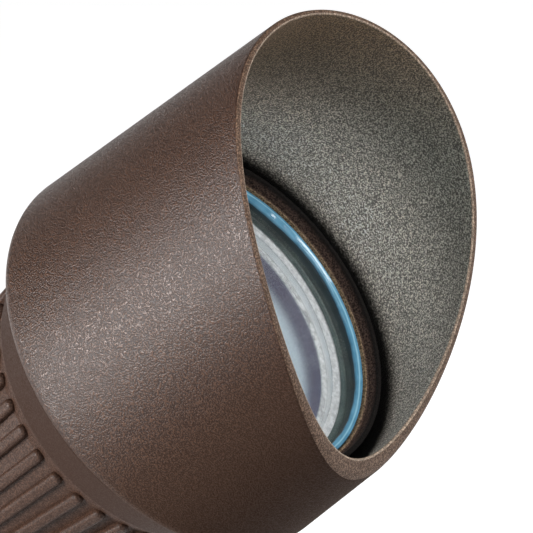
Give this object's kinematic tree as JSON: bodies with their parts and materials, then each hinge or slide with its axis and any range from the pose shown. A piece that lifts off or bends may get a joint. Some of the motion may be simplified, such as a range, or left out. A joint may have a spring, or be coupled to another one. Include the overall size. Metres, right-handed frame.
{
  "type": "accent light",
  "caption": "Outdoor accent light with a ribbed cast head, a scooped glare cowl that turns, a recessed lens over a reflector lamp, and a tilting knuckle on a hollow threaded stem.",
  "frame": {"origin": "On the stem's axis, where the thread meets the shoulder of the lower knuckle.", "axes": "-Z runs down the threaded stem, +X is the side to which the head leans, and Y runs along the knuckle's screw, with its knob on the -Y side."},
  "size_m": [0.1091, 0.0658, 0.1533],
  "materials": {
    "bronze_textured": "matte",
    "bronze": "satin",
    "clear_glass": "gloss",
    "lamp_mirror": "polished",
    "silicone": "satin",
    "black_rubber": "matte",
    "black_nylon": "matte",
    "white_ceramic": "matte",
    "bright_steel": "satin",
    "brass": "satin"
  },
  "bodies": {
    "base": {"lower_knuckle": "bronze", "pivot_nut": "bright_steel", "pivot_washers": "black_nylon"},
    "head": {"housing": "bronze", "cowl_o_rings": "black_rubber", "lens": "clear_glass", "lens_boot": "silicone", "lamp_reflector": "lamp_mirror", "lamp_cover_glass": "clear_glass", "lamp_burner": "clear_glass", "lamp_base": "white_ceramic", "lamp_pins": "bright_steel", "lamp_socket": "white_ceramic", "socket_contacts": "brass", "socket_bracket": "bright_steel", "socket_screws": "bright_steel", "bracket_screws": "bright_steel", "socket_leads": "silicone", "wire_grommet": "black_rubber", "knuckle_seal": "black_rubber", "upper_knuckle": "bronze"},
    "cowl": {"cowl": "bronze_textured"},
    "clamp_washer": {"clamp_washer": "bright_steel"},
    "thumbscrew": {"thumbscrew": "bronze"}
  },
  "joints": [
    {"name": "head_tilt", "type": "hinge", "parent": "base", "child": "head", "pos_m": [0, 0, 0.026], "axis": [0, -1, 0], "range_deg": [-42.7, 137.3]},
    {"name": "cowl_turn", "type": "hinge", "parent": "head", "child": "cowl", "pos_m": [0.0549, 0, 0.07666], "axis": [0.7349, 0, 0.6782], "continuous": true},
    {"name": "clamp_back_off", "type": "slide", "parent": "base", "child": "clamp_washer", "axis": [0, -1, 0], "range_m": [0, 0.002]},
    {"name": "clamp_turn", "type": "hinge", "parent": "clamp_washer", "child": "thumbscrew", "pos_m": [0, 0, 0.026], "axis": [0, -1, 0], "range_deg": [0, 720]}
  ],
  "couplings": [
    {"joint": "clamp_back_off", "follows": "clamp_turn", "m_per_rad": 0.00015915}
  ]
}
